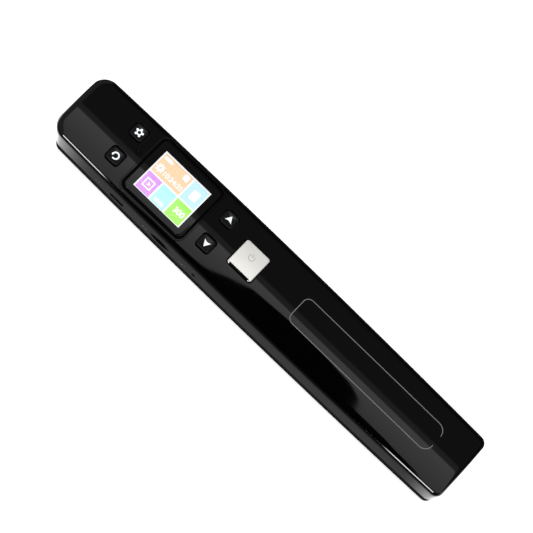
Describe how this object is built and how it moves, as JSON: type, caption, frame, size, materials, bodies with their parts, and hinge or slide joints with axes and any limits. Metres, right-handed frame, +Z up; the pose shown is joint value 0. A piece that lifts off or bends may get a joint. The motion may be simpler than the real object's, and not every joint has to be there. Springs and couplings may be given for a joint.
{
  "type": "handheld document scanner",
  "caption": "Long slim wand scanner with a crowned black housing, small colour screen, square keys, scan window and sprung tyres below.",
  "frame": {"origin": "on the table, under the middle of the wand", "axes": "+X along the wand, away from the screen; -Y the side with the ports; +Z up, out of the screen"},
  "size_m": [0.254, 0.041, 0.0254],
  "materials": {
    "gloss_black": "high gloss",
    "base_black": "satin",
    "window_black": "clear with a black border",
    "key_black": "gloss",
    "silver": "brushed",
    "clear": "clear",
    "rubber": "matte",
    "nylon": "matte",
    "steel": "ground",
    "brass": "turned",
    "board_green": "solder mask",
    "inner_black": "matte",
    "cell_wrap": "shrink wrap",
    "ribbon_white": "smooth"
  },
  "bodies": {
    "housing": {"top_shell": "gloss_black", "bottom_shell": "base_black", "display_window": "window_black", "lcd_module": "inner_black", "lcd_holder": "nylon", "settings_switch": "inner_black", "back_switch": "inner_black", "up_switch": "inner_black", "down_switch": "inner_black", "scan_switch": "inner_black", "status_led": "nylon", "status_light": "clear", "usb_socket": "steel", "card_socket": "steel", "reset_switch": "inner_black", "scan_glass": "clear", "sensor_housing": "inner_black", "rod_lens_array": "clear", "light_guide": "clear", "sensor_board": "board_green", "front_left_bush": "brass", "front_right_bush": "brass", "rear_left_bush": "brass", "rear_right_bush": "brass", "encoder_bracket": "nylon", "encoder_sensor": "inner_black", "main_board": "board_green", "battery_pack": "cell_wrap", "battery_plug": "nylon", "battery_lead": "inner_black", "sensor_ribbon": "ribbon_white", "ribbon_connector": "nylon", "housing_screw_1": "steel", "housing_screw_2": "steel", "housing_screw_3": "steel", "housing_screw_4": "steel"},
    "settings_key": {"settings_button": "key_black"},
    "back_key": {"back_button": "key_black"},
    "up_key": {"up_button": "key_black"},
    "down_key": {"down_button": "key_black"},
    "scan_key": {"scan_button": "silver"},
    "reset_key": {"reset_button": "nylon"},
    "front_roller": {"front_axle": "steel", "front_left_tyre": "rubber", "front_left_hub": "nylon", "front_right_tyre": "rubber", "front_right_hub": "nylon"},
    "rear_roller": {"rear_axle": "steel", "rear_left_tyre": "rubber", "rear_left_hub": "nylon", "rear_right_tyre": "rubber", "rear_right_hub": "nylon", "drive_pinion": "nylon"},
    "encoder": {"encoder_gear": "nylon", "encoder_disc": "inner_black", "encoder_shaft": "steel"}
  },
  "joints": [
    {"name": "settings_press", "type": "slide", "parent": "housing", "child": "settings_key", "axis": [0, 0, -1], "range_m": [0, 0.0004], "stiffness_N_per_m": 300, "springref_m": -0.0006},
    {"name": "back_press", "type": "slide", "parent": "housing", "child": "back_key", "axis": [0, 0, -1], "range_m": [0, 0.0004], "stiffness_N_per_m": 300, "springref_m": -0.0006},
    {"name": "up_press", "type": "slide", "parent": "housing", "child": "up_key", "axis": [0, 0, -1], "range_m": [0, 0.0004], "stiffness_N_per_m": 300, "springref_m": -0.0006},
    {"name": "down_press", "type": "slide", "parent": "housing", "child": "down_key", "axis": [0, 0, -1], "range_m": [0, 0.0004], "stiffness_N_per_m": 300, "springref_m": -0.0006},
    {"name": "scan_press", "type": "slide", "parent": "housing", "child": "scan_key", "axis": [0, 0, -1], "range_m": [0, 0.0004], "stiffness_N_per_m": 300, "springref_m": -0.0006},
    {"name": "reset_press", "type": "slide", "parent": "housing", "child": "reset_key", "axis": [0, 1, 0], "range_m": [0, 0.0004], "stiffness_N_per_m": 300, "springref_m": -0.0006},
    {"name": "front_roller_spin", "type": "hinge", "parent": "housing", "child": "front_roller", "pos_m": [0, -0.0115, 0.005], "axis": [1, 0, 0], "continuous": true},
    {"name": "rear_roller_spin", "type": "hinge", "parent": "housing", "child": "rear_roller", "pos_m": [0, 0.0115, 0.005], "axis": [1, 0, 0], "continuous": true},
    {"name": "encoder_spin", "type": "hinge", "parent": "housing", "child": "encoder", "pos_m": [0, 0.0115, 0.0116], "axis": [1, 0, 0], "continuous": true}
  ],
  "couplings": [
    {"joint": "encoder_spin", "follows": "rear_roller_spin", "ratio": -0.625}
  ]
}
